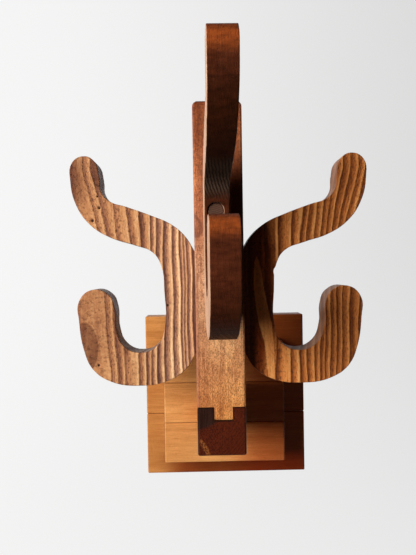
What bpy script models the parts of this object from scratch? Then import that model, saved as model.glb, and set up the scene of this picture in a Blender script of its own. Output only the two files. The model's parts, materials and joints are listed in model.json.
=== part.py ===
"""Wall-hung mug tree of stained softwood: plate, arm, mast and three double-hook boards.

The frame: metres, +Z up, +X to the right as seen from the room, -Y out from the wall.
The origin is the centre of the wall plate's back face, which lies on the wall at y = 0.
"""

import math

import bmesh
import bpy
from mathutils import Matrix, Vector

MM = 0.001

# Stock sizes
STOCK = 38 * MM                 # square bar of the mast and the arm, and the width of a tier strip
BOARD = 18 * MM                 # thickness of the wall plate and of the hook boards
STRIP_THICKNESS = 28 * MM
GAP = 0.3 * MM                  # room left at every joint between two pieces

# Wall plate and tier
PLATE_SIZE = 159 * MM
PLATE_SEAM_Z = -STOCK / 2       # where its two boards meet, level with the tier's lower seam
TIER_X = -2.5 * MM              # the tier sits a little left of the plate's centre
TIER_SIZE = 3 * STOCK

# Arm and mast
ARM_X = -7.8 * MM               # the arm and the mast stand left of the plate's centre
ARM_BACK_Y = -(BOARD + STRIP_THICKNESS + GAP)
ARM_FRONT_Y = -(BOARD + 102.4 * MM)
MAST_MIDDLE_Y = ARM_FRONT_Y + STOCK / 2
MAST_TOP_Z = 256 * MM
TENON_WIDTH = 14.2 * MM
TENON_DEPTH = 10.2 * MM
TENON_X = ARM_X + 1.4 * MM      # the tenon stands right of the mast's centre

# Hook boards
SIDE_HOOK_Z = 34 * MM           # lowest point of the left and right boards
FRONT_HOOK_Z = 80.4 * MM        # lowest point of the front board
SIDE_HOOK_SETBACK = 11 * MM     # from the mast's front face back to a side board's front face
FRONT_HOOK_SHIFT = -2.8 * MM    # the front board stands a little left of the mast's centre
FRONT_HOOK_LEAN = 0.03          # and drifts right by this much of its reach

# Fixings
PLUG_RADIUS = 6 * MM
PLUG_THICKNESS = 6 * MM
PLUG_INSET = 0.5 * MM           # a plug's face lies this far below the wood around it
COUNTERBORE_DEPTH = 10 * MM
HOOK_SCREW_HEIGHTS = (50 * MM, 87 * MM)   # above a hook board's lowest point
HOOK_SPINE = 24.6 * MM          # how far a hook board's spine stands out at its screws
SCREW_INTO_MAST = 15 * MM
TIER_SCREW_REACH = 24 * MM      # from the tier's middle left and right to its screws
ARM_SCREW_REACH = 9 * MM        # from the arm's middle up and down to its screws
FACETS = 16                     # round a screw, a plug or a hole

# Keyhole hangers in the plate's back
HANGER_X = 48 * MM
HANGER_Z = 42 * MM
HANGER_WIDTH = 16 * MM
HANGER_HEIGHT = 38 * MM
HANGER_THICKNESS = 1.6 * MM
HANGER_INSET = 0.2 * MM         # the hangers lie just below the plate's back
HANGER_SCREW_REACH = 14 * MM    # from a hanger's middle up and down to its screws
KEYHOLE_DROP = 4.5 * MM         # from a hanger's middle down to the keyhole's round end

# Outline of a hook board in millimetres: distance out from the mast, then height above the
# lowest point. The straight spine edge against the mast runs from the foot to the head.
SPINE_FOOT = (0, 26)
LOWER_HOOK = [
    (7, 14), (20, 4.5), (47, 0), (70, 4), (84, 14), (91, 30), (94.3, 52), (94.2, 68),
    (83.5, 77.2), (70, 73.3), (65, 62), (64.3, 46.5),
]
LOWER_GAP = [(58.5, 32.3), (44.4, 26.5), (30.3, 32.3), (24.5, 46.5), (24.4, 75), (26.4, 95)]
UPPER_HOOK = [
    (33, 106), (49, 112.5), (68, 118.6), (84, 129), (94.5, 144), (99, 163), (97.3, 178),
    (87.5, 183), (79, 178.5), (75.4, 166), (74.3, 155), (68, 147.4), (54, 142.6), (34, 135.4),
    (18, 128.2), (7, 118.5),
]
SPINE_HEAD = (0, 107)

# The boards are cut by hand from this one outline, so two of them differ a little from it:
# how far each reaches out past its spine, and how far it rises past its middle, as factors.
SPINE_LIMIT = 30
MIDDLE_HEIGHT = 100
HOOK_REACH = {"left": 0.972, "right": 1.0, "front": 1.0}
HOOK_RISE = {"left": 1.0, "right": 1.0, "front": 0.975}

LEFT = Vector((-1, 0, 0))
RIGHT = Vector((1, 0, 0))
UP = Vector((0, 0, 1))
OUT = Vector((0, -1, 0))        # from the wall into the room

parts = bpy.data.collections.new("mug_tree")
cutters = bpy.data.collections.new("cutters")


def start_scene():
    """Empty the scene and add the two collections."""
    for item in list(bpy.data.objects):
        bpy.data.objects.remove(item, do_unlink=True)
    bpy.context.scene.unit_settings.system = "METRIC"
    bpy.context.scene.collection.children.link(parts)
    bpy.context.scene.collection.children.link(cutters)


def make_material(name, colour, roughness, metallic=0.0):
    material = bpy.data.materials.new(name)
    material.use_nodes = True
    shader = material.node_tree.nodes["Principled BSDF"]
    shader.inputs["Base Color"].default_value = (*colour, 1.0)
    shader.inputs["Roughness"].default_value = roughness
    shader.inputs["Metallic"].default_value = metallic
    return material


def add_part(name, mesh, material):
    item = bpy.data.objects.new(name, mesh)
    mesh.materials.append(material)
    parts.objects.link(item)
    return item


def add_cutter(name, mesh):
    item = bpy.data.objects.new(name, mesh)
    item.hide_render = True
    item.display_type = "WIRE"
    cutters.objects.link(item)
    return item


def cut(item, cutter):
    boolean = item.modifiers.new(cutter.name, "BOOLEAN")
    boolean.operation = "DIFFERENCE"
    boolean.solver = "EXACT"
    boolean.object = cutter


def soften(item, width):
    """Round a piece's sharp edges."""
    bevel = item.modifiers.new("edges", "BEVEL")
    bevel.width = width
    bevel.segments = 2
    bevel.limit_method = "ANGLE"
    bevel.angle_limit = math.radians(40)


def box_mesh(name, low, high):
    """A cube scaled to the box between two corners, centred on its own origin."""
    bm = bmesh.new()
    bmesh.ops.create_cube(bm, size=1)
    bmesh.ops.scale(bm, vec=Vector(high) - Vector(low), verts=bm.verts)
    mesh = bpy.data.meshes.new(name)
    bm.to_mesh(mesh)
    bm.free()
    return mesh


def add_box(name, low, high, material):
    item = add_part(name, box_mesh(name, low, high), material)
    item.location = (Vector(low) + Vector(high)) / 2
    return item


def cut_box(item, name, low, high):
    cutter = add_cutter(name, box_mesh(name, low, high))
    cutter.location = (Vector(low) + Vector(high)) / 2
    cut(item, cutter)


def profile_mesh(name, profile):
    """A line of (height, radius) points in the XZ plane. The profile is given from the bottom up."""
    points = [(radius, 0, height) for height, radius in reversed(profile)]
    edges = [(i, i + 1) for i in range(len(points) - 1)]
    mesh = bpy.data.meshes.new(name)
    mesh.from_pydata(points, edges, [])
    return mesh


def turn(item, location, direction):
    """Sweep a profile once round its own Z, then stand that axis at a place, along a direction."""
    screw = item.modifiers.new("turned", "SCREW")
    screw.angle = math.tau
    screw.steps = FACETS
    screw.render_steps = FACETS
    screw.use_merge_vertices = True
    screw.merge_threshold = 0.01 * MM
    screw.use_smooth_shade = True
    item.location = location
    item.rotation_euler = UP.rotation_difference(direction).to_euler()


def drill(item, name, mouth, direction, steps):
    """Cut a stepped round hole; each step is (depth from the mouth, radius), widest first."""
    over = -1 * MM
    profile = [(over, 0), (over, steps[0][1])]
    for (depth, radius), (_, next_radius) in zip(steps, steps[1:] + [(0, 0)]):
        profile += [(depth, radius), (depth, next_radius)]
    cutter = add_cutter(name, profile_mesh(name, profile))
    turn(cutter, mouth, direction)
    cut(item, cutter)


def add_screw(name, head_at, direction, length, diameter, material):
    """A pan-headed wood screw, the top of its head at head_at and its point along direction."""
    shank = diameter / 2
    head = 0.95 * diameter
    head_thickness = 0.6 * diameter
    profile = [
        (0, 0), (0, 0.75 * head), (0.25 * diameter, head), (head_thickness, head),
        (head_thickness, shank), (length - 1.6 * diameter, shank), (length, 0),
    ]
    item = add_part(name, profile_mesh(name, profile), material)
    turn(item, head_at, direction)


def add_plug(name, mouth, direction, material):
    """A round wood plug in a hole's mouth, pushed in along direction."""
    radius = PLUG_RADIUS - GAP
    rim = 0.4 * MM
    profile = [(0, 0), (0, radius - rim), (rim, radius), (PLUG_THICKNESS, radius), (PLUG_THICKNESS, 0)]
    item = add_part(name, profile_mesh(name, profile), material)
    turn(item, mouth + direction * PLUG_INSET, direction)


def tier_screw_places():
    return [(TIER_X + i * TIER_SCREW_REACH, k * STOCK) for i in (-1, 1) for k in (-1, 1)]


def arm_screw_places():
    return [(ARM_X, i * ARM_SCREW_REACH) for i in (-1, 1)]


def wall_plate(wood):
    """Two boards edge to edge, with the grain across; the upper one carries the hangers."""
    half = PLATE_SIZE / 2
    boards = (("lower", -half, PLATE_SEAM_Z - GAP / 2), ("upper", PLATE_SEAM_Z + GAP / 2, half))
    for name, low_z, high_z in boards:
        board = add_box(f"wall_plate_{name}", (-half, -BOARD, low_z), (half, 0, high_z), wood)
        soften(board, 1 * MM)
        if name == "upper":
            for hanger, x in hanger_places():
                cut_hanger_pocket(board, hanger, x)
        places = [(x, z) for x, z in tier_screw_places() + arm_screw_places() if low_z < z < high_z]
        for number, (x, z) in enumerate(places):
            drill(board, f"cut_{name}_plate_hole_{number + 1}", (x, 0, z), OUT,
                  [(5 * MM, 5 * MM), (BOARD + 1 * MM, 2.8 * MM)])


def tier(wood):
    """Three strips side by side, with the grain across."""
    back_y = -(BOARD + GAP)
    for number, name in enumerate(("lower", "middle", "upper")):
        low_z = (number - 1.5) * STOCK
        low = (TIER_X - TIER_SIZE / 2, -(BOARD + STRIP_THICKNESS), low_z + GAP / 2)
        high = (TIER_X + TIER_SIZE / 2, back_y, low_z + STOCK - GAP / 2)
        strip = add_box(f"tier_strip_{name}", low, high, wood)
        soften(strip, 1.2 * MM)
        if name == "middle":
            places = arm_screw_places()
            hole = [(STRIP_THICKNESS + 1 * MM, 2.8 * MM)]
        else:
            places = [(x, z) for x, z in tier_screw_places() if low[2] < z < high[2]]
            hole = [(20 * MM, 2.3 * MM)]
        for i, (x, z) in enumerate(places):
            drill(strip, f"cut_{name}_strip_hole_{i + 1}", (x, back_y, z), OUT, hole)


def plate_screws(steel):
    """Screws from the plate's back: short ones into the tier, long ones through it into the arm."""
    sunk = 1 * MM
    for i, (x, z) in enumerate(tier_screw_places()):
        add_screw(f"tier_screw_{i + 1}", (x, -sunk, z), OUT, 35 * MM, 4 * MM, steel)
    for i, (x, z) in enumerate(arm_screw_places()):
        add_screw(f"arm_screw_{i + 1}", (x, -sunk, z), OUT, 80 * MM, 4.8 * MM, steel)


def arm(wood):
    half = STOCK / 2
    item = add_box("arm", (ARM_X - half, ARM_FRONT_Y, -half), (ARM_X + half, ARM_BACK_Y, half), wood)
    soften(item, 1.6 * MM)
    slot_half = TENON_WIDTH / 2 + GAP
    slot_low = (TENON_X - slot_half, ARM_FRONT_Y - 1 * MM, half - TENON_DEPTH - GAP)
    slot_high = (TENON_X + slot_half, ARM_FRONT_Y + STOCK + GAP, half + 1 * MM)
    cut_box(item, "cut_tenon_slot", slot_low, slot_high)
    drill(item, "cut_mast_screw_hole", (ARM_X, MAST_MIDDLE_Y, -half), UP,
          [(COUNTERBORE_DEPTH, PLUG_RADIUS), (STOCK, 3 * MM)])
    for i, (x, z) in enumerate(arm_screw_places()):
        drill(item, f"cut_arm_pilot_{i + 1}", (x, ARM_BACK_Y, z), OUT, [(38 * MM, 2.7 * MM)])


def mast(wood):
    """The upright bar, its foot cut down to a tenon that drops into the arm's slot."""
    half = STOCK / 2
    low = Vector((ARM_X - half, ARM_FRONT_Y, half - TENON_DEPTH))
    high = Vector((ARM_X + half, ARM_FRONT_Y + STOCK, MAST_TOP_Z))
    item = add_box("mast", low, high, wood)
    round_top(item, 5 * MM)
    soften(item, 1.4 * MM)
    over = Vector((1, 1, 1)) * MM
    shoulder_z = half + GAP
    cut_box(item, "cut_shoulder_left", low - over, (TENON_X - TENON_WIDTH / 2, high.y + over.y, shoulder_z))
    cut_box(item, "cut_shoulder_right", (TENON_X + TENON_WIDTH / 2, low.y - over.y, low.z - over.z),
            (high.x + over.x, high.y + over.y, shoulder_z))
    drill(item, "cut_mast_pilot", (ARM_X, MAST_MIDDLE_Y, low.z), UP, [(46 * MM, 2.8 * MM)])
    for name, mouth, inward in hook_screws():
        drill(item, f"cut_mast_{name}", mouth + inward * HOOK_SPINE, inward,
              [(SCREW_INTO_MAST + 1 * MM, 2.3 * MM)])


def round_top(item, radius):
    """Round over the four edges round a bar's top."""
    bm = bmesh.new()
    bm.from_mesh(item.data)
    top_z = max(vertex.co.z for vertex in bm.verts)
    rim = [edge for edge in bm.edges if all(vertex.co.z == top_z for vertex in edge.verts)]
    bmesh.ops.bevel(bm, geom=rim, offset=radius, segments=5, profile=0.5, affect="EDGES")
    bm.to_mesh(item.data)
    bm.free()


def hook_outline(side):
    """One board's outline as a closed run of (out, height, is_corner) points, in millimetres."""
    points = []
    for out, height in [SPINE_FOOT] + LOWER_HOOK + LOWER_GAP + UPPER_HOOK + [SPINE_HEAD]:
        is_corner = out == 0
        if out > SPINE_LIMIT:
            out = SPINE_LIMIT + (out - SPINE_LIMIT) * HOOK_REACH[side]
        if height > MIDDLE_HEIGHT:
            height = MIDDLE_HEIGHT + (height - MIDDLE_HEIGHT) * HOOK_RISE[side]
        points.append((out, height, is_corner))
    return points


def hook_curve(name, side):
    """The board's outline as a flat curve, thick enough to be the board."""
    curve = bpy.data.curves.new(name, "CURVE")
    curve.dimensions = "2D"
    curve.fill_mode = "BOTH"
    curve.extrude = BOARD / 2
    curve.resolution_u = 5
    spline = curve.splines.new("BEZIER")
    outline = hook_outline(side)
    spline.bezier_points.add(len(outline) - 1)
    for point, (out, height, is_corner) in zip(spline.bezier_points, outline):
        point.co = (out * MM, height * MM, 0)
        point.handle_left_type = "VECTOR" if is_corner else "AUTO"
        point.handle_right_type = "VECTOR" if is_corner else "AUTO"
    spline.use_cyclic_u = True
    return curve


def hook_mesh(name, side):
    """A hook board as a mesh: out along +X, up along +Z, its thickness along Y."""
    source = add_cutter(f"{name}_curve", hook_curve(name, side))
    mesh = bpy.data.meshes.new_from_object(source.evaluated_get(bpy.context.evaluated_depsgraph_get()))
    bpy.data.objects.remove(source)
    bm = bmesh.new()
    bm.from_mesh(mesh)
    bmesh.ops.remove_doubles(bm, verts=bm.verts, dist=0.01 * MM)
    bmesh.ops.rotate(bm, verts=bm.verts, matrix=Matrix.Rotation(math.pi / 2, 3, "X"))
    if side == "front":
        for vertex in bm.verts:
            vertex.co.y += vertex.co.x * FRONT_HOOK_LEAN
    bm.to_mesh(mesh)
    bm.free()
    return mesh


def hook_places():
    """Each hook board's side, its foot on the mast's face, and the way it points."""
    half = STOCK / 2
    side_y = ARM_FRONT_Y + SIDE_HOOK_SETBACK + BOARD / 2
    return [
        ("left", Vector((ARM_X - half - GAP, side_y, SIDE_HOOK_Z)), LEFT),
        ("right", Vector((ARM_X + half + GAP, side_y, SIDE_HOOK_Z)), RIGHT),
        ("front", Vector((ARM_X + FRONT_HOOK_SHIFT, ARM_FRONT_Y - GAP, FRONT_HOOK_Z)), OUT),
    ]


def hook_screws():
    """Each hook screw's name, the mouth of its hole in the spine, and its way into the mast."""
    screws = []
    for side, foot, out in hook_places():
        for number, height in enumerate(HOOK_SCREW_HEIGHTS):
            screws.append((f"{side}_{number + 1}", foot + out * HOOK_SPINE + UP * height, -out))
    return screws


def hook_boards(wood):
    for side, foot, out in hook_places():
        item = add_part(f"hook_board_{side}", hook_mesh(f"hook_board_{side}", side), wood)
        item.location = foot
        item.rotation_euler.z = math.atan2(out.y, out.x)
        soften(item, 1.4 * MM if side == "front" else 0.9 * MM)
        for name, mouth, inward in hook_screws():
            if name.startswith(side):
                drill(item, f"cut_board_{name}", mouth, inward,
                      [(COUNTERBORE_DEPTH, PLUG_RADIUS), (HOOK_SPINE + 1 * MM, 2.5 * MM)])


def hook_fixings(steel, plug_wood):
    sunk = PLUG_INSET + PLUG_THICKNESS + GAP
    length = HOOK_SPINE - sunk + SCREW_INTO_MAST
    for name, mouth, inward in hook_screws():
        add_screw(f"hook_screw_{name}", mouth + inward * sunk, inward, length, 4 * MM, steel)
        add_plug(f"hook_plug_{name}", mouth, inward, plug_wood)


def mast_fixing(steel, plug_wood):
    """The screw up through the arm into the mast, and the plug below its head."""
    mouth = Vector((ARM_X, MAST_MIDDLE_Y, -STOCK / 2))
    add_screw("mast_screw", mouth + UP * (PLUG_INSET + PLUG_THICKNESS + GAP), UP, 62 * MM, 5 * MM, steel)
    add_plug("mast_plug", mouth, UP, plug_wood)


def hanger_places():
    return [("left", -HANGER_X), ("right", HANGER_X)]


def hanger_screw_places():
    return [("lower", HANGER_Z - HANGER_SCREW_REACH), ("upper", HANGER_Z + HANGER_SCREW_REACH)]


def cut_hanger_pocket(plate, name, x):
    """A shallow seat for a hanger, a deeper pocket behind its keyhole, and its pilot holes."""
    over = 1 * MM
    half_width = HANGER_WIDTH / 2 + GAP
    half_height = HANGER_HEIGHT / 2 + GAP
    seat_y = -(HANGER_INSET + HANGER_THICKNESS + GAP)
    cut_box(plate, f"cut_seat_{name}", (x - half_width, seat_y, HANGER_Z - half_height),
            (x + half_width, over, HANGER_Z + half_height))
    cut_box(plate, f"cut_pocket_{name}", (x - 5.5 * MM, -9 * MM, HANGER_Z - 9 * MM),
            (x + 5.5 * MM, over, HANGER_Z + 10 * MM))
    for end, z in hanger_screw_places():
        drill(plate, f"cut_hanger_pilot_{name}_{end}", (x, seat_y, z), OUT, [(10 * MM, 1.8 * MM)])


def keyhole_hangers(steel):
    """Two small steel plates, each with a keyhole that a wall screw's head drops into."""
    face_y = -HANGER_INSET
    through = [(HANGER_THICKNESS + 2 * MM, 4.2 * MM)]
    for name, x in hanger_places():
        low = (x - HANGER_WIDTH / 2, face_y - HANGER_THICKNESS, HANGER_Z - HANGER_HEIGHT / 2)
        high = (x + HANGER_WIDTH / 2, face_y, HANGER_Z + HANGER_HEIGHT / 2)
        hanger = add_box(f"keyhole_hanger_{name}", low, high, steel)
        drill(hanger, f"cut_keyhole_{name}", (x, face_y, HANGER_Z - KEYHOLE_DROP), OUT, through)
        cut_box(hanger, f"cut_keyslot_{name}", (x - 2.1 * MM, low[1] - 1 * MM, HANGER_Z - KEYHOLE_DROP),
                (x + 2.1 * MM, face_y + 1 * MM, HANGER_Z + 7 * MM))
        for end, z in hanger_screw_places():
            drill(hanger, f"cut_hanger_hole_{name}_{end}", (x, face_y, z), OUT,
                  [(HANGER_THICKNESS + 2 * MM, 1.8 * MM)])
            add_hanger_pin(f"hanger_screw_{name}_{end}", (x, face_y, z), steel)


def add_hanger_pin(name, at, steel):
    """A small headless screw, flush with the hanger."""
    radius = 1.4 * MM
    item = add_part(name, profile_mesh(name, [(0, 0), (0, radius), (8 * MM, radius), (10.5 * MM, 0)]), steel)
    turn(item, at, OUT)


def build():
    start_scene()
    base_wood = make_material("base_wood", (0.42, 0.19, 0.08), 0.45)
    arm_wood = make_material("arm_wood", (0.20, 0.11, 0.07), 0.6)
    mast_wood = make_material("mast_wood", (0.36, 0.20, 0.14), 0.6)
    hook_wood = make_material("hook_wood", (0.50, 0.32, 0.18), 0.65)
    plug_wood = make_material("plug_wood", (0.16, 0.08, 0.05), 0.6)
    steel = make_material("steel", (0.55, 0.55, 0.53), 0.35, 1.0)
    wall_plate(base_wood)
    tier(base_wood)
    arm(arm_wood)
    mast(mast_wood)
    hook_boards(hook_wood)
    hook_fixings(steel, plug_wood)
    mast_fixing(steel, plug_wood)
    plate_screws(steel)
    keyhole_hangers(steel)


build()
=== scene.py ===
"""The looks of a wall-hung mug tree of brushed and stained softwood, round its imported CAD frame.

Positions are in the frame's axes: +X right, -Y out into the room, +Z up. A hook board also has its
own coordinates: out from the mast, across its thickness, and height above its lowest point, in mm.
"""

import json
import math

import bpy
import numpy as np
from mathutils import Euler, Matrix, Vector

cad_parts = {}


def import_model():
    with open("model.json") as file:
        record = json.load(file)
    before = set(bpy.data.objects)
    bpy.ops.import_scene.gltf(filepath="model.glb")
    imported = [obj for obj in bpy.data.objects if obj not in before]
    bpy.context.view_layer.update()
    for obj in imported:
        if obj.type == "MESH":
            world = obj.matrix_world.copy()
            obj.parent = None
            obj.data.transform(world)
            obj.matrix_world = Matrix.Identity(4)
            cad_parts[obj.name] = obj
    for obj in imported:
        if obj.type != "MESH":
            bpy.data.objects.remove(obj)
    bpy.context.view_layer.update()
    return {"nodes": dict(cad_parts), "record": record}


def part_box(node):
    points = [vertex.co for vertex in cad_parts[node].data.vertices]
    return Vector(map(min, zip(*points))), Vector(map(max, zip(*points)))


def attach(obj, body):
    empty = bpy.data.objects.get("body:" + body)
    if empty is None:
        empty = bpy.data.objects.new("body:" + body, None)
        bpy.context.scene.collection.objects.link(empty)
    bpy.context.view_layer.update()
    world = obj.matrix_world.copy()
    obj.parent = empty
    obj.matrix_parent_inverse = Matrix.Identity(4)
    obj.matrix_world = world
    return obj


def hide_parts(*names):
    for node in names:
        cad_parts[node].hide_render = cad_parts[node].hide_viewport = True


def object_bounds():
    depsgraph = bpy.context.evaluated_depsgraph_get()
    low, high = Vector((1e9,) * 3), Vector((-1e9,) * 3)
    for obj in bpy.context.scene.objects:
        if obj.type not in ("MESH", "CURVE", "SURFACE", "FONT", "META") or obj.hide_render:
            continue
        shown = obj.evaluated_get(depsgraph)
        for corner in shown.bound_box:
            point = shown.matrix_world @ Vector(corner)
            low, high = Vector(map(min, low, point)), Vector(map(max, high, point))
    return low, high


MM = 0.001
SIDES = ("left", "right", "front")      # the three hook boards, by the mast's face they stand on

# Camera
CAMERA_AT = (-20.25 * MM, -450.94 * MM, 125.4 * MM)
CAMERA_TURN = (89.012, 0.963, -0.63)    # degrees about X, Y and Z
CAMERA_LENS = 27.89

# Light: a big soft window on the left, a little in front
WINDOW_FROM = (-0.80, -0.55, 0.24)      # the way to it from the middle of the object
WINDOW_AWAY = 1.5
WINDOW_SIZE = 1.0
WINDOW_POWER = 52                       # watts
WINDOW_COLOUR = (1.0, 0.985, 0.96)
ROOM_FILL = (0.034, 0.021, 0.014)       # dim and warm, as light that the wood itself throws back
PALE = 0.90                             # how bright the world is to the camera
GLOSS = 0.1                             # specular level of the stained wood
FRONT_GLOSS = 0.04                      # the same on the front board
SHEEN = (1.0, 0.50, 0.28, 1)            # colour of its reflections, warm as the stain

# The floor and the backdrop that it sweeps up into, in metres
STAGE_REACH = 3.0                       # to each side, to the front and up
FLOOR_Z = -0.36
BACKDROP_Y = 1.7
SWEEP_RADIUS = 1.2
SWEEP_STEPS = 12
GLOW_FROM_X, GLOW_TO_X = -1.2, 1.8      # the room gets dimmer between these
GLOW_LEFT, GLOW_RIGHT = 0.90, 0.67

# Hook boards
FINE = 0.5 * MM                         # size of a face on the carved boards
BOARD = 18 * MM
FRONT_LEAN = 0.03                       # how much the front board drifts right on its way out
RELIEF = {"left": 0.38 * MM, "right": 0.38 * MM, "front": 0.16 * MM}   # depth of brushed-out soft wood
RELIEF_CURVE = 1.3                      # above 1, the relief keeps to the softest wood
EDGE_RELIEF = 0.06                      # share of the relief that the boards' edges have

# Growth rings of the hook boards, in mm
SOFT_WOOD = 5.0                         # widest run from dark to light across a growth ring
SOFT_SHARE = 0.8                        # and the most of a ring that the run may take
SOFT_TOP = 0.78                         # how light the wood is at the end of that run
HARD_LINE = 2.4                         # width of the lightest band, just before a ring line
LINE_SLOPE = 0.9                        # width of the fall from that band to the dark line
RING_WIDTH = 6.0                        # a common width of one growth ring
THINNEST_RING = 0.1
OUTER_RINGS, OUTER_WIDTH = 6, 7         # more rings beyond the last line listed, and their width
RING_LEAN = {"left": 0.35, "right": -0.3, "front": 2.2}   # lines move this much per mm of thickness
SLOW_SWAY, QUICK_SWAY = 0.45, 0.10      # how far the lines wander
TONE_STEP = 2.4                         # from ring to ring the tone is the sine of a growing angle
TONE_START = {"left": 4, "right": 5, "front": 5}
CALM_FROM, CALM_TO = 30, 62             # the rings fade between these distances from the mast
CALM = {"left": 0.42, "right": 0.25, "front": 0.25}       # by so much
CALM_GRAIN = 0.60                       # toward this lightness

# Ring lines of each board in mm out from the mast, at these three heights above the lowest point
RING_HEIGHTS = (10, 120, 172)
RINGS = {
    "left": [
        (-6, -5, -5), (1.1, 2, 2), (5.7, 6, 6.2), (8.2, 8.2, 8.5), (10.6, 11.4, 11.5), (17, 16.9, 17),
        (24.4, 24.2, 24), (30.3, 30, 29.5), (34.7, 34.5, 34), (38.8, 42.5, 44), (44.8, 50.6, 55),
        (56.3, 60.6, 66), (62.3, 68.4, 80.5), (67.5, 75, 86.2), (97, 93, 98), (106, 104, 107),
    ],
    "right": [
        (-9, -9, -9), (5, 4, 4), (18.3, 17, 16), (25.2, 29, 30), (37.1, 39.5, 41), (44.5, 46.5, 52),
        (50.6, 51.2, 58), (56.9, 57, 64), (61.2, 62, 70), (65.1, 66.4, 75.5), (69.1, 71, 80.7),
        (73.9, 76, 87), (78.2, 81, 93.7), (84, 87, 99), (91.5, 95, 104), (102, 106, 112),
    ],
    "front": [
        (-9, -9, -9), (3, 4, 4), (9, 11, 12), (15, 16, 17), (22, 22, 23), (27, 29, 31), (36, 37, 39),
        (41, 44, 47), (49, 50, 55), (55, 57, 63), (60, 63, 71), (66, 68, 76), (71, 73, 82),
        (77, 79, 88), (85, 87, 94), (93, 95, 100), (103, 106, 112),
    ],
}

# Small gouges in the front faces: out, height, radius and depth in mm
GOUGES = {
    "left": [(80, 132, 1.3, 1.0), (74.6, 142, 1.2, 0.9), (75.8, 151, 0.9, 0.7), (77.4, 17, 1.1, 0.8),
             (22, 64, 1.2, 0.5)],
    "right": [(25.5, 90, 2.2, 1.2)],
}

# Ovals of dark stain: out, height, half width and half height in mm, softness of the rim, strength
STAINS = {
    "left": [(88.5, 31, 11.3, 21.5, 0.08, 0.92), (104, 164, 22, 48, 0.5, 1.0), (75, 172, 7, 20, 0.6, 0.9),
             (80, 54, 17, 40, 0.3, 0.24)],
}

# Ovals where the edges are lighter, in the same terms
LIGHTER_EDGES = {"front": [(97, 170, 14, 9.5, 0.8, 1.0), (92, 70.5, 14, 9, 0.8, 1.0)]}

# The right board is dark beside the mast, out to these distances, but for one streak of light wood;
# the dark is partly its own stain and partly painted shade of the mast
DARK_HEIGHTS = (0, 30, 45, 95, 108, 122, 138)
DARK_OUT = (19, 24, 30, 30, 30, 25, 16)
DARK_FADE = 9                           # width in mm over which the dark part comes to its full depth
STREAK_HEIGHTS = (0, 12, 32, 48, 62, 78, 90, 98, 102)
STREAK_INNER = (19, 18, 16.4, 11.9, 9.6, 8.1, 8.3, 9.0, 10.8)
STREAK_OUTER = (24.5, 24.1, 23.5, 22.2, 19.2, 15.9, 14.4, 12.6, 10.8)
STREAK_RIM = 0.7                        # width in mm of the streak's soft edge
STREAK_CLEAR = 0.74                     # share of the dark stain and painted shade that the streak goes without
STREAK_GRAIN = 0.86                     # its lightness
BESIDE_STREAK = 26                      # out to here the rings round the streak are darker, partly painted shade of the mast
BESIDE_DARKER = 0.45                    # by so much

# Noise on the hook boards, in features per metre through the rings, across the board and along it
BOARD_STREAKS = (1000, 500, 26)
BOARD_FIBRES = (1500, 900, 260)
BOARD_CLOUDS = (60, 60, 26)
BOARD_PITS = (900, 900, 360)
EDGE_BANDS = (200, 120, 380)
PIT_COLOUR = (0.075, 0.026, 0.016)
GOUGE_COLOUR = (0.03, 0.012, 0.008)
BOARD_BUMP = 0.22 * MM

# The open end grain under the front board's upper arm
END_SLOPE = 0.40                        # slant of its lines
END_SPACING = 2.2 * MM
END_DARK = (0.018, 0.009, 0.006)
END_LIGHT = (0.080, 0.050, 0.034)

# Noise on the planed bars, in features per metre across the grain and along it
BAR_WARP = (220.0, 18.0)
BAR_BEND = (220.0 / 9, 2.0)
BAR_FIBRES = (1500.0, 70.0)
BAR_DOTS = (1900.0, 800.0)
BAR_BUMP = 0.12 * MM

# Stain on the mast
MAST_TINT_HEIGHT = 260 * MM             # where the last of these tints is reached
MAST_TINTS = [(0.05, (1.32, 1.22, 0.70)), (0.22, (1.36, 1.52, 1.30)), (0.46, (1.28, 1.75, 2.05)),
              (0.60, (0.80, 0.72, 0.76)), (0.80, (0.78, 0.56, 0.46)), (1.0, (0.46, 0.27, 0.18))]
MAST_BLOTS = (420, 420, 300)
KNOT_AT = (-28.5 * MM, 160.5 * MM)      # X and Z
KNOT_SIZE = (8 * MM, 10 * MM)           # half width and half height
KNOT_LEAN = 0.3

# Stain on the end face of the arm
END_MOTTLE = (1300, 1300, 900)
END_FIBRES = (1300, 1300, 60)
BLOCK_SLOPE = -0.37                     # slant of the black block's lower edge
PATCH_AT = (-21 * MM, -12.5 * MM)       # the orange patch, X and Z
PATCH_SIZE = (2.3 * MM, 7.5 * MM)
PATCH_LEAN = 0.5
TENON_X = -6.4 * MM
TENON_HALF = 7.2 * MM

# Stain on the wall plate and the tier
BASE_BANDS = (9, 30, 130)

# Wood colours, from the darkest soft wood to the lightest hard wood
TAN = [(0.0, (0.070, 0.026, 0.016)), (0.14, (0.13, 0.050, 0.030)), (0.40, (0.27, 0.110, 0.055)),
       (0.64, (0.43, 0.190, 0.080)), (0.88, (0.56, 0.29, 0.130)), (1.0, (0.68, 0.39, 0.19))]
WARM = [(0.0, (0.10, 0.024, 0.006)), (0.14, (0.17, 0.042, 0.011)), (0.40, (0.34, 0.100, 0.024)),
        (0.64, (0.56, 0.172, 0.042)), (0.88, (0.74, 0.285, 0.078)), (1.0, (0.82, 0.36, 0.110))]
# The front board's palette is paler and greyer: partly its own wood, partly a painted highlight for the
# strong window light on its left face
CREAM = [(0.0, (0.19, 0.088, 0.050)), (0.14, (0.26, 0.130, 0.078)), (0.40, (0.36, 0.200, 0.125)),
         (0.64, (0.46, 0.275, 0.175)), (0.88, (0.55, 0.355, 0.240)), (1.0, (0.62, 0.425, 0.300))]
DARK = [(0.0, (0.030, 0.006, 0.003)), (0.25, (0.060, 0.013, 0.005)), (0.55, (0.12, 0.028, 0.010)),
        (0.8, (0.22, 0.055, 0.016)), (1.0, (0.34, 0.10, 0.03))]
ROSE = [(0.0, (0.22, 0.066, 0.028)), (0.3, (0.42, 0.155, 0.072)), (0.6, (0.62, 0.275, 0.130)),
        (1.0, (0.85, 0.46, 0.215))]
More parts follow.
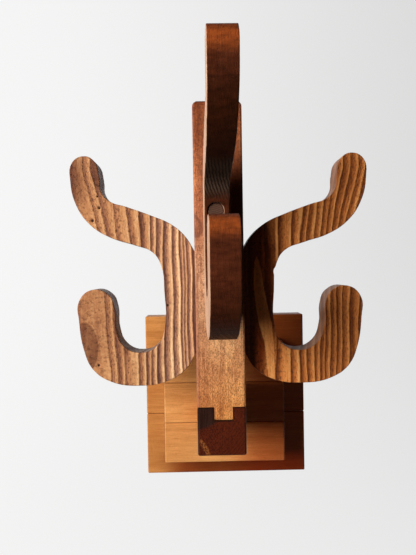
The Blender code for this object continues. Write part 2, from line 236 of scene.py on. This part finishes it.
HONEY = [(0.0, (0.34, 0.105, 0.024)), (0.35, (0.48, 0.175, 0.044)), (0.7, (0.64, 0.28, 0.080)),
         (1.0, (0.76, 0.38, 0.13))]
STEEL = [(0.3, (0.42, 0.42, 0.40)), (0.7, (0.62, 0.62, 0.60))]


class Tree:
    """Adds shader nodes to one node tree and joins them."""

    def __init__(self, owner):
        owner.use_nodes = True
        self.tree = owner.node_tree
        self.tree.nodes.clear()

    def add(self, kind, **settings):
        node = self.tree.nodes.new(kind)
        for key, value in settings.items():
            setattr(node, key, value)
        return node

    def put(self, socket, value):
        if isinstance(value, bpy.types.NodeSocket):
            self.tree.links.new(value, socket)
        elif isinstance(value, tuple) and len(value) == 3 and socket.type == "RGBA":
            socket.default_value = (*value, 1)
        else:
            socket.default_value = value

    def sums(self, operation, first, second=0.0, third=0.0):
        node = self.add("ShaderNodeMath", operation=operation)
        for socket, value in zip(node.inputs, (first, second, third)):
            self.put(socket, value)
        return node.outputs[0]

    def times(self, first, second):
        return self.sums("MULTIPLY", first, second)

    def vary(self, value, noise, share):
        """The value, raised or lowered by a share of the noise about its middle."""
        return self.sums("MULTIPLY_ADD", self.sums("SUBTRACT", noise, 0.5), share, value)

    def away(self, value, middle):
        return self.sums("ABSOLUTE", self.sums("SUBTRACT", value, middle))

    def blend(self, factor, first, second, how="MIX"):
        node = self.add("ShaderNodeMix", data_type="RGBA", blend_type=how)
        self.put(node.inputs[0], factor)
        self.put(node.inputs[6], first)
        self.put(node.inputs[7], second)
        return node.outputs[2]

    def tint(self, factor, colour, tint):
        return self.blend(factor, colour, tint, "MULTIPLY")

    def ramp(self, factor, stops):
        node = self.add("ShaderNodeValToRGB")
        elements = node.color_ramp.elements
        while len(elements) < len(stops):
            elements.new(0.5)
        for element, (place, colour) in zip(elements, stops):
            element.position = place
            element.color = (*colour, 1)
        self.put(node.inputs[0], factor)
        return node.outputs[0]

    def spread(self, value, low, high, to_low=0.0, to_high=1.0):
        """A smooth change from one result at the low value to the other at the high value."""
        node = self.add("ShaderNodeMapRange", interpolation_type="SMOOTHSTEP")
        for socket, item in zip(node.inputs, (value, low, high, to_low, to_high)):
            self.put(socket, item)
        return node.outputs[0]

    def spread_mm(self, value, low, high):
        return self.spread(value, low * MM, high * MM)

    def noise(self, vector, scale, detail=2.0, roughness=0.5):
        """Noise whose scale along each axis is in features per metre."""
        stretch = self.add("ShaderNodeMapping", vector_type="POINT")
        self.put(stretch.inputs["Vector"], vector)
        stretch.inputs["Scale"].default_value = scale
        node = self.add("ShaderNodeTexNoise")
        node.inputs["Scale"].default_value = 1.0
        node.inputs["Detail"].default_value = detail
        node.inputs["Roughness"].default_value = roughness
        self.put(node.inputs["Vector"], stretch.outputs[0])
        return node.outputs["Fac"]

    def attribute(self, name, output="Fac"):
        return self.add("ShaderNodeAttribute", attribute_name=name).outputs[output]

    def place(self):
        """Where the shaded point is, in the frame."""
        return self.add("ShaderNodeTexCoord").outputs["Object"]

    def parts_of(self, vector):
        node = self.add("ShaderNodeSeparateXYZ")
        self.put(node.inputs[0], vector)
        return node.outputs

    def normal(self):
        return self.parts_of(self.add("ShaderNodeNewGeometry").outputs["Normal"])

    def finish(self, colour, roughness, height, distance, **fixed):
        """The surface, with its bump."""
        shader = self.add("ShaderNodeBsdfPrincipled")
        bump = self.add("ShaderNodeBump")
        bump.inputs["Strength"].default_value = 1.0
        bump.inputs["Distance"].default_value = distance
        self.put(bump.inputs["Height"], height)
        self.put(shader.inputs["Base Color"], colour)
        self.put(shader.inputs["Roughness"], roughness)
        self.put(shader.inputs["Normal"], bump.outputs[0])
        for name, value in fixed.items():
            shader.inputs[name.replace("_", " ")].default_value = value
        output = self.add("ShaderNodeOutputMaterial")
        self.put(output.inputs[0], shader.outputs[0])


def make_camera():
    data = bpy.data.cameras.new("camera")
    data.lens = CAMERA_LENS
    data.sensor_width = 36
    camera = bpy.data.objects.new("camera", data)
    camera.location = CAMERA_AT
    camera.rotation_euler = Euler([math.radians(angle) for angle in CAMERA_TURN])
    bpy.context.scene.collection.objects.link(camera)
    bpy.context.scene.camera = camera


def make_lights():
    middle = sum(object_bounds(), Vector()) / 2
    data = bpy.data.lights.new("window", "AREA")
    data.energy = WINDOW_POWER
    data.size = WINDOW_SIZE
    data.color = WINDOW_COLOUR
    window = bpy.data.objects.new("window", data)
    way = Vector(WINDOW_FROM).normalized()
    window.location = middle + way * WINDOW_AWAY
    window.rotation_euler = way.to_track_quat("Z", "Y").to_euler()
    window.visible_camera = False
    bpy.context.scene.collection.objects.link(window)


def make_world():
    """Pale to the camera, and a dim fill to everything else."""
    world = bpy.data.worlds.new("room")
    bpy.context.scene.world = world
    tree = Tree(world)
    path = tree.add("ShaderNodeLightPath")
    seen = tree.add("ShaderNodeBackground")
    seen.inputs[0].default_value = (PALE, PALE, PALE, 1)
    fill = tree.add("ShaderNodeBackground")
    fill.inputs[0].default_value = (*ROOM_FILL, 1)
    mix = tree.add("ShaderNodeMixShader")
    tree.put(mix.inputs[0], path.outputs["Is Camera Ray"])
    tree.put(mix.inputs[1], fill.outputs[0])
    tree.put(mix.inputs[2], seen.outputs[0])
    tree.put(tree.add("ShaderNodeOutputWorld").inputs[0], mix.outputs[0])


def pale_material():
    """A dark matt surface that glows, so that no shadow shows on it."""
    material = bpy.data.materials.new("pale_sweep")
    tree = Tree(material)
    across = tree.parts_of(tree.place())["X"]
    shader = tree.add("ShaderNodeBsdfPrincipled")
    shader.inputs["Base Color"].default_value = (0.05, 0.05, 0.05, 1)
    shader.inputs["Roughness"].default_value = 0.9
    shader.inputs["Specular IOR Level"].default_value = 0.0
    glow = tree.spread(across, GLOW_FROM_X, GLOW_TO_X, GLOW_LEFT, GLOW_RIGHT)
    tree.put(shader.inputs["Emission Color"], (1.0, 1.0, 1.0))
    tree.put(shader.inputs["Emission Strength"], glow)
    tree.put(tree.add("ShaderNodeOutputMaterial").inputs[0], shader.outputs[0])
    return material


def make_stage():
    """A plain pale floor well below the object, which sweeps up into a backdrop far behind it."""
    sweep_y, sweep_z = BACKDROP_Y - SWEEP_RADIUS, FLOOR_Z + SWEEP_RADIUS
    line = [(-STAGE_REACH, FLOOR_Z)]
    for step in range(SWEEP_STEPS + 1):
        angle = math.radians(90 * step / SWEEP_STEPS)
        line.append((sweep_y + SWEEP_RADIUS * math.sin(angle), sweep_z - SWEEP_RADIUS * math.cos(angle)))
    line.append((BACKDROP_Y, STAGE_REACH))
    points = [(x, y, z) for y, z in line for x in (-STAGE_REACH, STAGE_REACH)]
    faces = [(2 * i, 2 * i + 1, 2 * i + 3, 2 * i + 2) for i in range(len(line) - 1)]
    mesh = bpy.data.meshes.new("floor")
    mesh.from_pydata(points, [], faces)
    mesh.shade_smooth()
    mesh.materials.append(pale_material())
    floor = bpy.data.objects.new("floor", mesh)
    bpy.context.scene.collection.objects.link(floor)
    floor.visible_diffuse = False           # it shows and reflects, and leaves the fill to the world


def board_places(side, points):
    """Out, across and height of points on a board, in mm."""
    low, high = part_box(f"hook_board_{side}")
    if side == "front":
        out = high.y - points[:, 1]
        across = points[:, 0] - (low.x + BOARD / 2 + FRONT_LEAN * out)
    else:
        out = high.x - points[:, 0] if side == "left" else points[:, 0] - low.x
        across = points[:, 1] - (low.y + high.y) / 2
    return out / MM, across / MM, (points[:, 2] - low.z) / MM


def sway(out, height):
    """How far the ring lines wander, in one slow wave and one quick one."""
    slow = SLOW_SWAY * np.sin(height * 0.085 + out * 0.11)
    quick = QUICK_SWAY * np.sin(height * 0.27 + out * 0.4 + 2)
    return slow + quick


def ring_lines(side, height):
    """How far out each ring line lies at these heights."""
    lines = [np.interp(height, RING_HEIGHTS, line) for line in RINGS[side]]
    return lines + [lines[-1] + OUTER_WIDTH * (number + 1) for number in range(OUTER_RINGS)]


def ring_grain(side, out, across, height):
    """How each point lies in the growth rings: how light the ring is there, from 0 at its dark line to
    1, the ring's own tone, and how many rings out from the first line the point is."""
    out = out + RING_LEAN[side] * (across + BOARD / MM / 2)
    out = out + sway(out, height)
    lines = ring_lines(side, height)
    grain = np.ones_like(out)
    tone = np.zeros_like(out)
    count = np.zeros_like(out)
    for number, (inner, outer) in enumerate(zip(lines, lines[1:])):
        inside = (out >= inner) & (out < outer)
        width = outer - inner
        from_line = outer - out if side == "left" else out - inner
        to_next = width - from_line
        rise = np.minimum(from_line / np.minimum(SOFT_SHARE * width, SOFT_WOOD), 1) * SOFT_TOP
        light = np.clip(1 - (to_next - LINE_SLOPE) / HARD_LINE, 0, 1) * (1 - SOFT_TOP)
        fall = np.clip(to_next / LINE_SLOPE, 0, 1)
        grain = np.where(inside, (rise + light) * fall, grain)
        tone = np.where(inside, math.sin(number * TONE_STEP + TONE_START[side]), tone)
        count = np.where(inside, number + (out - inner) / np.maximum(width, THINNEST_RING), count)
    return grain, tone, count


def in_streak(out, height):
    """1 inside the right board's light streak, 0 outside it."""
    inner = np.interp(height, STREAK_HEIGHTS, STREAK_INNER)
    outer = np.interp(height, STREAK_HEIGHTS, STREAK_OUTER)
    inside = np.clip(np.minimum(out - inner, outer - out) / STREAK_RIM + 0.5, 0, 1)
    return inside * (height < STREAK_HEIGHTS[-1])


def settled_grain(side, out, height, grain):
    """The grain with its rings faded far from the mast, and with the right board's light streak."""
    calm = np.clip((out - CALM_FROM) / (CALM_TO - CALM_FROM), 0, 1)
    grain = grain + CALM[side] * calm * (CALM_GRAIN - grain)
    if side == "right":
        streak = in_streak(out, height)
        beside = (out < BESIDE_STREAK) * (1 - streak)
        grain = grain * (1 - BESIDE_DARKER * beside) * (1 - streak) + STREAK_GRAIN * streak
    return grain


def in_ovals(ovals, out, height):
    """How far each point is inside any of the ovals, from 0 to their strength."""
    amount = np.zeros_like(out)
    for at_out, at_height, half_width, half_height, softness, strength in ovals:
        away = np.hypot((out - at_out) / half_width, (height - at_height) / half_height)
        amount = np.maximum(amount, strength * np.clip((1 - away) / softness, 0, 1))
    return amount


def stain_and_shade_amount(side, out, height):
    """How much dark stain each point of a board has; on the right board it is partly painted shade beside
    the mast.
    """
    if side != "right":
        return in_ovals(STAINS.get(side, ()), out, height)
    dark = np.clip((np.interp(height, DARK_HEIGHTS, DARK_OUT) - out) / DARK_FADE, 0, 1)
    return dark * (1 - STREAK_CLEAR * in_streak(out, height))


def gouge_amounts(side, out, across, height):
    """How deep the gouges are at each point, and how far inside one it is, from 0 to 1."""
    depth = np.zeros_like(out)
    amount = np.zeros_like(out)
    for at_out, at_height, radius, deepest in GOUGES.get(side, ()):
        away = np.hypot(out - at_out, height - at_height)
        inside = np.exp(-(away / radius) ** 2) * (across < 0)
        depth += deepest * MM * inside
        amount = np.maximum(amount, inside)
    return depth, amount


def set_attribute(mesh, name, values):
    attribute = mesh.attributes.new(name, "FLOAT", "POINT")
    attribute.data.foreach_set("value", values.astype(np.float32))


def set_vector(mesh, name, columns):
    """A vector attribute in metres, from three columns in mm."""
    attribute = mesh.attributes.new(name, "FLOAT_VECTOR", "POINT")
    attribute.data.foreach_set("vector", (np.stack(columns, 1) * MM).astype(np.float32).ravel())


def vertex_array(mesh, field):
    values = np.zeros(len(mesh.vertices) * 3, np.float32)
    mesh.vertices.foreach_get(field, values)
    return values.reshape(-1, 3).astype(float)


def fine_copy(name, node):
    """A new object with a node's shape in small even faces."""
    board = bpy.data.objects.new(name, node.data.copy())
    bpy.context.scene.collection.objects.link(board)
    fine = board.modifiers.new("fine", "REMESH")
    fine.mode = "VOXEL"
    fine.voxel_size = FINE
    graph = bpy.context.evaluated_depsgraph_get()
    mesh = bpy.data.meshes.new_from_object(board.evaluated_get(graph))
    board.modifiers.clear()
    board.data = mesh
    return board


def carve_board(side, nodes, material):
    """A hook board with its soft wood brushed out between the hard ring lines."""
    name = f"hook_board_{side}"
    board = fine_copy(f"brushed_board_{side}", nodes[name])
    mesh = board.data
    points, normals = vertex_array(mesh, "co"), vertex_array(mesh, "normal")
    out, across, height = board_places(side, points)
    facing = np.abs(normals[:, 0] if side == "front" else normals[:, 1])
    grain, tone, count = ring_grain(side, out, across, height)
    grain = settled_grain(side, out, height, grain)
    gouge_depth, gouge = gouge_amounts(side, out, across, height)
    relief = RELIEF[side] * (1 - grain) ** RELIEF_CURVE * (EDGE_RELIEF + (1 - EDGE_RELIEF) * facing ** 2)
    points -= normals * (relief + gouge_depth)[:, None]
    mesh.vertices.foreach_set("co", points.astype(np.float32).ravel())
    set_attribute(mesh, "grain", grain)
    set_attribute(mesh, "tone", tone)
    set_attribute(mesh, "face", facing)
    set_attribute(mesh, "gouge", gouge)
    set_attribute(mesh, "stain_and_shade", stain_and_shade_amount(side, out, height))
    set_attribute(mesh, "lighter_edge", in_ovals(LIGHTER_EDGES.get(side, ()), out, height))
    set_vector(mesh, "board", (out, across, height))
    set_vector(mesh, "grown", (count * RING_WIDTH, across, height))
    mesh.shade_smooth()
    mesh.materials.clear()
    mesh.materials.append(material)
    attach(board, "root")
    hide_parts(name)


def board_wood(name, stops, edge_colour, stain_and_shade_colour, lighter_edge_colour=None, spine_colour=None,
               pitting=0.72, gloss=GLOSS):
    """Brushed softwood: dark pitted soft wood that runs up to a light hard line across each ring."""
    material = bpy.data.materials.new(name)
    tree = Tree(material)
    place = tree.attribute("board", "Vector")
    grown = tree.attribute("grown", "Vector")
    grain = tree.attribute("grain")
    fibres = tree.noise(grown, BOARD_FIBRES, 3, 0.7)
    shade = tree.vary(grain, tree.noise(grown, BOARD_STREAKS, 3, 0.6), 0.70)
    shade = tree.vary(shade, fibres, 0.75)
    shade = tree.vary(shade, tree.noise(place, BOARD_CLOUDS, 4, 0.65), 0.50)
    shade = tree.sums("MULTIPLY_ADD", tree.attribute("tone"), 0.09, shade)
    colour = tree.ramp(shade, stops)
    soft = tree.spread(grain, 0.98, 0.5)
    pits = tree.spread(tree.noise(grown, BOARD_PITS, 3, 0.7), 0.52, 0.62)
    pits = tree.times(pits, tree.sums("MULTIPLY_ADD", soft, 0.70, 0.18))
    colour = tree.blend(tree.times(pits, pitting), colour, PIT_COLOUR)
    # dark stain on the left board; on the right board, stain and painted shade beside the mast
    colour = tree.tint(tree.attribute("stain_and_shade"), colour, stain_and_shade_colour)
    if spine_colour:
        spine = tree.spread_mm(tree.parts_of(place)["X"], 45, 18)
        colour = tree.tint(spine, colour, spine_colour)
    edge = tree.spread(tree.attribute("face"), 0.85, 0.35)
    if lighter_edge_colour:
        edge_colour = front_edge(tree, place, grain, edge_colour, lighter_edge_colour)
    colour = tree.blend(tree.times(edge, 1.0 if lighter_edge_colour else 0.8), colour, edge_colour)
    colour = tree.blend(tree.spread(tree.attribute("gouge"), 0.15, 0.75), colour, GOUGE_COLOUR)
    height = tree.sums("MULTIPLY_ADD", pits, -0.8, tree.times(fibres, 0.7))
    roughness = tree.spread(shade, 0.1, 1.0, 0.46, 0.34)
    tree.finish(colour, roughness, height, BOARD_BUMP, Specular_IOR_Level=gloss, Specular_Tint=SHEEN)
    return material


def front_edge(tree, place, grain, edge_colour, lighter_edge_colour):
    """Edges of the front board: lighter in ovals on the roundings, with painted shade on the faces that
    turn downward, and with open end grain below the upper arm."""
    bands = tree.noise(place, EDGE_BANDS, 3, 0.6)
    shade = tree.vary(0.85, bands, 1.6)
    shade = tree.vary(shade, grain, 0.14)
    colour = tree.tint(1.0, edge_colour, shade)
    colour = tree.blend(tree.times(tree.attribute("lighter_edge"), shade), colour, lighter_edge_colour)
    turn = tree.normal()["Z"]
    # painted shade: faces that turn downward are darkened
    colour = tree.tint(tree.spread(turn, -0.05, -0.5), colour, (0.45, 0.45, 0.40))
    parts = tree.parts_of(place)
    under = tree.times(tree.spread(turn, -0.2, -0.6), tree.spread_mm(parts["X"], 64, 50))
    under = tree.times(under, tree.spread_mm(parts["Z"], 86, 100))
    slant = tree.sums("MULTIPLY_ADD", parts["Z"], END_SLOPE, parts["Y"])
    slant = tree.sums("MULTIPLY_ADD", bands, 2.2 * MM, slant)
    lines = tree.spread_mm(tree.sums("PINGPONG", slant, END_SPACING / 2), 0.2, 0.9)
    return tree.blend(under, colour, tree.blend(lines, END_DARK, END_LIGHT))


def grained(axis, across, along):
    """Noise scales for wood whose grain runs along one axis."""
    scales = [across] * 3
    scales[axis] = along
    return scales


def bar_wood(name, along, pith, ring, stops, end_colour, roughness, clouds_scale=18, speckle=0.35,
             ring_share=0.4, marks=None):
    """Planed softwood: growth rings round a pith line that runs along one axis."""
    material = bpy.data.materials.new(name)
    tree = Tree(material)
    place = tree.place()
    parts = tree.parts_of(place)
    axis = "XYZ".index(along)
    cross = [number for number in range(3) if number != axis]
    legs = [tree.sums("SUBTRACT", parts[number], at) for number, at in zip(cross, pith)]
    square = tree.sums("MULTIPLY_ADD", legs[0], legs[0], tree.times(legs[1], legs[1]))
    rings = tree.sums("DIVIDE", tree.sums("SQRT", square), ring)
    rings = tree.sums("MULTIPLY_ADD", tree.noise(place, grained(axis, *BAR_BEND), 2, 0.5), 1.6, rings)
    rings = tree.sums("MULTIPLY_ADD", tree.noise(place, grained(axis, *BAR_WARP), 3, 0.55), 0.35, rings)
    grain = tree.sums("FRACT", rings)
    fibres = tree.noise(place, grained(axis, *BAR_FIBRES), 3, 0.6)
    clouds = tree.noise(place, grained(axis, clouds_scale, 0.4 * clouds_scale), 3, 0.6)
    shade = tree.vary(tree.times(grain, ring_share), fibres, 0.7)
    shade = tree.vary(shade, clouds, 0.9)
    shade = tree.sums("ADD", shade, 0.5 - ring_share / 2)
    colour = tree.ramp(shade, stops)
    dots = tree.spread(tree.noise(place, grained(axis, *BAR_DOTS), 3, 0.75), 0.48, 0.62)
    dot_colour = tuple(0.3 * value for value in stops[0][1])
    colour = tree.blend(tree.times(dots, speckle), colour, dot_colour)
    end = tree.spread(tree.sums("ABSOLUTE", tree.normal()[axis]), 0.5, 0.9)
    end_rings = tree.spread(grain, 0.0, 1.0, 0.55, 1.25)
    colour = tree.blend(end, colour, tree.tint(1.0, end_colour, end_rings))
    if marks:
        colour = marks(tree, parts, colour)
    height = tree.sums("MULTIPLY_ADD", dots, -0.8, fibres)
    tree.finish(colour, roughness, height, BAR_BUMP, Specular_IOR_Level=GLOSS, Specular_Tint=SHEEN)
    return material


def patch(tree, parts, x_run, z_run):
    """A patch that comes in over a run along X and a run along Z, both in mm."""
    return tree.times(tree.spread_mm(parts["X"], *x_run), tree.spread_mm(parts["Z"], *z_run))


def ellipse(tree, parts, centre, radii, lean):
    """Distance from a point in the XZ plane, 1 on the leaning ellipse round it."""
    x = tree.sums("SUBTRACT", parts["X"], centre[0])
    z = tree.sums("SUBTRACT", parts["Z"], centre[1])
    x = tree.sums("DIVIDE", tree.sums("MULTIPLY_ADD", z, lean, x), radii[0])
    z = tree.sums("DIVIDE", z, radii[1])
    return tree.sums("SQRT", tree.sums("MULTIPLY_ADD", x, x, tree.times(z, z)))


def mast_marks(tree, parts, colour):
    """Golden at the foot, darker and pinker toward the top, with blots, a small knot, a painted shadow
    of the front board beside it and a dark left edge."""
    tints = tree.ramp(tree.sums("DIVIDE", parts["Z"], MAST_TINT_HEIGHT), MAST_TINTS)
    colour = tree.tint(1.0, colour, tints)
    colour = tree.tint(patch(tree, parts, (2, -25), (140, 90)), colour, (0.80, 0.70, 0.72))
    blots = tree.spread(tree.noise(tree.place(), MAST_BLOTS, 5, 0.8), 0.46, 0.62)
    blots = tree.times(blots, tree.spread(parts["Z"], 20 * MM, 160 * MM, 0.28, 0.62))
    colour = tree.blend(blots, colour, (0.13, 0.038, 0.022))
    away = ellipse(tree, parts, KNOT_AT, KNOT_SIZE, KNOT_LEAN)
    line = tree.spread(tree.away(away, 0.85), 0.28, 0.06)
    knot = tree.sums("MAXIMUM", tree.times(line, 0.75), tree.spread(away, 1.5, 0.3, 0.0, 0.35))
    colour = tree.blend(knot, colour, (0.16, 0.055, 0.035))
    # painted shadow of the front board on the mast's face to its right
    shade = tree.times(patch(tree, parts, (-2, 4), (84, 92)), tree.spread_mm(parts["Z"], 235, 190))
    colour = tree.tint(shade, colour, (0.20, 0.11, 0.07))
    edge = patch(tree, parts, (-23.2, -26.4), (140, 110))
    return tree.blend(tree.times(edge, 0.55), colour, (0.17, 0.060, 0.045))


def arm_marks(tree, parts, colour):
    """Stain on the end face: mottled, near black beside the tenon and along its rim, one orange patch."""
    low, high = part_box("arm")
    middle = (low + high) / 2
    half = (high.x - low.x) / 2
    place = tree.place()
    front = tree.spread(parts["Y"], low.y + 2.4 * MM, low.y + 0.9 * MM)
    mottle = tree.spread(tree.noise(place, END_MOTTLE, 4, 0.75), 0.38, 0.62)
    mottled = tree.blend(mottle, (0.020, 0.0038, 0.0020), (0.104, 0.0140, 0.0040))
    corner = tree.sums("SUBTRACT", parts["X"], parts["Z"])
    corner = tree.spread(corner, -8 * MM, 22 * MM, 0.15, 0.70)
    colour = tree.blend(front, colour, tree.blend(corner, mottled, colour))
    slope = tree.sums("MULTIPLY_ADD", parts["X"], BLOCK_SLOPE, parts["Z"])
    block = tree.times(tree.spread_mm(slope, 9.3, 12.6), tree.spread_mm(parts["X"], -12, -14))
    fibres = tree.spread(tree.noise(place, END_FIBRES, 3, 0.6), 0.40, 0.60)
    black = tree.blend(fibres, (0.006, 0.003, 0.0028), (0.022, 0.010, 0.008))
    colour = tree.blend(tree.times(block, 0.88), colour, black)
    away = ellipse(tree, parts, PATCH_AT, PATCH_SIZE, PATCH_LEAN)
    orange = tree.times(tree.spread(away, 1.3, 0.3, 0.0, 0.75), mottle)
    colour = tree.blend(tree.times(orange, front), colour, (0.46, 0.150, 0.036))
    from_middle = tree.sums("MAXIMUM", tree.away(parts["X"], middle.x), tree.away(parts["Z"], middle.z))
    rim = tree.spread(from_middle, half - 1.4 * MM, half - 0.2 * MM)
    tenon_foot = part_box("mast")[0].z - 0.2 * MM
    below = tree.sums("SUBTRACT", tenon_foot + TENON_HALF, parts["Z"])
    tenon = tree.sums("MAXIMUM", tree.away(parts["X"], TENON_X), below)
    tenon_rim = tree.spread(tenon, TENON_HALF + 1.3 * MM, TENON_HALF + 0.3 * MM)
    rim = tree.times(tree.sums("MAXIMUM", rim, tenon_rim), front)
    return tree.blend(tree.times(rim, 0.75), colour, (0.008, 0.003, 0.002))


def base_marks(tree, parts, colour):
    """The stain is banded and lighter on the tier; painted shade makes it deeper and redder to the right
    and along the bottom.
    """
    bands = tree.spread(tree.noise(tree.place(), BASE_BANDS, 3, 0.6), 0.35, 0.68, 0.0, 0.45)
    colour = tree.tint(bands, colour, (0.62, 0.48, 0.38))
    # painted shade: the right part of the base, in the shadow of the arm and mast, is darkened and
    # reddened
    colour = tree.tint(tree.spread_mm(parts["X"], -12, 36), colour, (0.78, 0.44, 0.34))
    # painted shade: the plate below the tier is darkened, as the tier's shadow
    colour = tree.tint(patch(tree, parts, (-75, -40), (-55, -61)), colour, (0.42, 0.22, 0.16))
    return tree.tint(tree.spread_mm(parts["Y"], -18.5, -30), colour, (1.20, 1.32, 1.50))


def make_woods():
    """One wood for each hook board, and one material for each of the record's other slots."""
    return {
        "left": board_wood("brushed_wood_left", TAN, (0.13, 0.060, 0.034), (0.42, 0.36, 0.40),
                           spine_colour=(1.20, 1.38, 1.60)),
        # its stain colour also darkens the part beside the mast, partly as painted shade
        "right": board_wood("brushed_wood_right", WARM, (0.27, 0.125, 0.068), (0.32, 0.18, 0.145)),
        "front": board_wood("brushed_wood_front", CREAM, (0.078, 0.018, 0.0070), (0.5, 0.5, 0.5),
                            (0.26, 0.056, 0.012), pitting=0.30, gloss=FRONT_GLOSS),
        "mast_wood": bar_wood("planed_mast_wood", "Z", (-0.045, -0.06), 3.2 * MM, ROSE,
                              (0.10, 0.04, 0.025), 0.40, clouds_scale=90, speckle=0.72, ring_share=0.10,
                              marks=mast_marks),
        "arm_wood": bar_wood("planed_arm_wood", "Y", (-0.045, 0.03), 2.2 * MM, ROSE,
                             (0.070, 0.0095, 0.0026), 0.42, marks=arm_marks),
        "base_wood": bar_wood("satin_base_wood", "X", (-0.09, 0.12), 5 * MM, HONEY,
                              (0.12, 0.04, 0.015), 0.34, clouds_scale=26, speckle=0.12, ring_share=0.08,
                              marks=base_marks),
        "plug_wood": bar_wood("plug_wood", "Y", (-0.02, 0.2), 1.4 * MM, DARK, (0.09, 0.045, 0.03), 0.45),
        "steel": zinc_steel(),
    }


def zinc_steel():
    material = bpy.data.materials.new("zinc_steel")
    tree = Tree(material)
    spangle = tree.noise(tree.place(), (420, 420, 420), 3, 0.6)
    roughness = tree.spread(spangle, 0.3, 0.7, 0.28, 0.45)
    tree.finish(tree.ramp(spangle, STEEL), roughness, spangle, 0.02 * MM, Metallic=1.0)
    return material


def dress_frame(frame, woods):
    """Give each CAD node the material of its slot; the hook boards get theirs when they are carved."""
    slots = {row["node"]: row["material_slot"] for row in frame["record"]["subparts"]}
    for name, node in frame["nodes"].items():
        if slots[name] in woods:
            node.data.materials.clear()
            node.data.materials.append(woods[slots[name]])


def build():
    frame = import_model()
    bpy.context.scene.view_settings.view_transform = "Standard"
    make_camera()
    make_lights()
    make_world()
    make_stage()
    woods = make_woods()
    dress_frame(frame, woods)
    for side in SIDES:
        carve_board(side, frame["nodes"], woods[side])


build()
